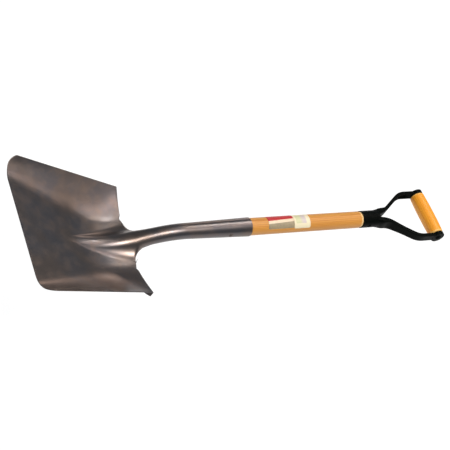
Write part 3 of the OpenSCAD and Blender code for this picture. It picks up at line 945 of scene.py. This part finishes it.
def label_red():
    """A plain label: a red band with a slanted edge, a white stripe and a grey field."""
    m = paper("label_red")
    u = m.coordinate("X", m.sheet)
    v = m.coordinate("Y", m.sheet)
    slant = m.maths("SUBTRACT", v, m.maths("MULTIPLY", u, 0.10))
    red = m.levels(slant, 0.50, 0.51)
    white = m.levels(slant, 0.31, 0.32)
    field = m.blend(m.levels(m.scuff, 0.35, 0.65), srgb(150, 137, 108), srgb(136, 124, 100))
    base = m.blend(white, field, srgb(214, 196, 168))
    base = m.blend(red, base, srgb(176, 26, 32))
    return finish_paper(m, base)


def label_cream():
    """A plain cream label with a faint tinted panel."""
    m = paper("label_cream")
    u = m.coordinate("X", m.sheet)
    v = m.coordinate("Y", m.sheet)
    inside_u = m.maths("MULTIPLY", m.levels(u, 0.10, 0.13), m.levels(u, 0.74, 0.77, 1, 0))
    inside_v = m.maths("MULTIPLY", m.levels(v, 0.28, 0.31), m.levels(v, 0.86, 0.89, 1, 0))
    panel = m.maths("MULTIPLY", inside_u, inside_v)
    tint = m.blend(m.levels(u, 0.35, 0.6), srgb(186, 190, 146), srgb(186, 174, 182))
    base = m.blend(m.maths("MULTIPLY", panel, 0.8), srgb(220, 210, 178), tint)
    return finish_paper(m, base)


def floor_white():
    """A sheet lit evenly from below, like a light table, so that hardly any shadow shows on it."""
    m = Material("floor_white")
    shade = m.levels(m.noise(3, detail=2), 0.3, 0.7, 0.11, 0.13)
    m.set(Base_Color=m.node("ShaderNodeCombineColor", {0: shade, 1: shade, 2: shade}).outputs[0])
    m.set(Roughness=0.8, Specular_IOR_Level=0.1, Emission_Color=(1.0, 1.0, 1.0, 1.0),
          Emission_Strength=FLOOR_GLOW)
    return m.material


def give(piece, material):
    """Makes the material the piece's only one."""
    piece.data.materials.clear()
    piece.data.materials.append(material)


def smooth_node(name):
    """A CAD node that is shown as it is, with smooth shading."""
    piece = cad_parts[name]
    piece.data.polygons.foreach_set("use_smooth", [True] * len(piece.data.polygons))
    return piece


# ---------------------------------------------------------------- stage

CAMERA_AIM = Vector((-53.9, 8.5, 0.0)) * MM
CAMERA_DISTANCE = 2179.8 * MM
CAMERA_AZIMUTH = math.radians(-46.854)
CAMERA_ELEVATION = math.radians(46.181)
CAMERA_ROLL = math.radians(33.92)
CAMERA_LENS = 82.28
FLOOR_DROP = 250
FLOOR_HALF = 2.1
FLOOR_GLOW = 0.96
WORLD_COLOUR = (0.62, 0.82, 1.0, 1.0)
WORLD_HORIZON = 0.26
WORLD_OVERHEAD = 0.2


def aimed(position, target, roll=0.0):
    """Rotation of a camera or lamp at position that looks at target."""
    towards = (Vector(target) - Vector(position)).normalized()
    return towards.to_track_quat("-Z", "Y") @ Matrix.Rotation(roll, 3, "Z").to_quaternion()


def view_direction(azimuth, elevation):
    """From the object towards a place at that azimuth and elevation; azimuth 0 looks along +Y."""
    return Vector((math.sin(azimuth) * math.cos(elevation), -math.cos(azimuth) * math.cos(elevation),
                   math.sin(elevation)))


def add_camera():
    """The photograph's viewpoint: above and in front of the blade, towards -Y, and rolled as it is."""
    data = bpy.data.cameras.new("camera")
    data.lens = CAMERA_LENS
    camera = bpy.data.objects.new("camera", data)
    camera.location = CAMERA_AIM + CAMERA_DISTANCE * view_direction(CAMERA_AZIMUTH, CAMERA_ELEVATION)
    camera.rotation_mode = "QUATERNION"
    camera.rotation_quaternion = aimed(camera.location, CAMERA_AIM, CAMERA_ROLL)
    bpy.context.scene.collection.objects.link(camera)
    bpy.context.scene.camera = camera


def add_softbox(name, azimuth, elevation, distance, size, power, tint):
    """A rectangular lamp that faces the origin; angles in degrees, the rest in metres and watts."""
    data = bpy.data.lights.new(name, "AREA")
    data.shape = "RECTANGLE"
    data.size, data.size_y = size
    data.energy = power
    data.color = tint
    lamp = bpy.data.objects.new(name, data)
    lamp.location = distance * view_direction(math.radians(azimuth), math.radians(elevation))
    lamp.rotation_mode = "QUATERNION"
    lamp.rotation_quaternion = aimed(lamp.location, (0, 0, 0))
    bpy.context.scene.collection.objects.link(lamp)


def add_floor():
    """A square sheet well below the shovel, out of reach of its soft shadows."""
    size = FLOOR_HALF
    mesh = bpy.data.meshes.new("floor")
    z = CAD_BOX[0].z - FLOOR_DROP * MM
    corners = [(-size, -size, z), (size, -size, z), (size, size, z), (-size, size, z)]
    mesh.from_pydata(corners, [], [(0, 1, 2, 3)])
    floor = bpy.data.objects.new("floor", mesh)
    bpy.context.scene.collection.objects.link(floor)
    give(floor, floor_white())


def add_world():
    """Even studio light that is dimmer overhead than at the horizon."""
    world = bpy.data.worlds.new("studio")
    world.use_nodes = True
    tree = world.node_tree
    tree.nodes["Background"].inputs["Color"].default_value = WORLD_COLOUR
    coordinates = tree.nodes.new("ShaderNodeTexCoord")
    split = tree.nodes.new("ShaderNodeSeparateXYZ")
    fade = tree.nodes.new("ShaderNodeMapRange")
    fade.inputs["To Min"].default_value = WORLD_HORIZON
    fade.inputs["To Max"].default_value = WORLD_OVERHEAD
    tree.links.new(coordinates.outputs["Generated"], split.inputs[0])
    tree.links.new(split.outputs["Z"], fade.inputs["Value"])
    tree.links.new(fade.outputs[0], tree.nodes["Background"].inputs["Strength"])
    bpy.context.scene.world = world


# ---------------------------------------------------------------- assembly

def build():
    """Every piece with its material."""
    give(make_blade(), blade_steel())
    give(make_shaft(), shaft_wood())
    give(make_grip(), grip_wood())
    give(make_yoke(), black_paint("yoke_black", 0.5))
    front = make_label("label_front_paper", "label_front", FRONT_LABEL_ANGLE)
    give(front, label_red())
    rear = make_label("label_rear_paper", "label_rear", REAR_LABEL_ANGLE)
    give(rear, label_cream())
    rod_paint = black_paint("rod_black", 0.9)
    give(smooth_node("grip_rod"), rod_paint)
    give(smooth_node("yoke_rivet"), rod_paint)
    give(smooth_node("socket_rivet"), rivet_steel())


def light():
    """Floor, surroundings and lamps; every lamp's reflection has its own place on the steel."""
    add_floor()
    add_world()
    add_softbox("key", 10, 68, 2.4, (0.7, 0.7), 56, tint=(1.0, 0.94, 0.88))
    add_softbox("panel", 77, 41, 2.6, (2.2, 0.8), 4.8, tint=(1.0, 0.84, 0.74))
    add_softbox("rear", 97, 58, 2.6, (0.45, 0.45), 8.5, tint=(1.0, 0.83, 0.76))
    add_softbox("fold", 128, 54, 2.6, (0.45, 0.45), 16, tint=(1.0, 0.94, 0.86))
    add_softbox("low", 151, 8, 2.6, (0.4, 0.3), 3.4, tint=(1.0, 0.76, 0.62))
    bpy.context.scene.view_settings.view_transform = "Standard"


build()
light()
add_camera()
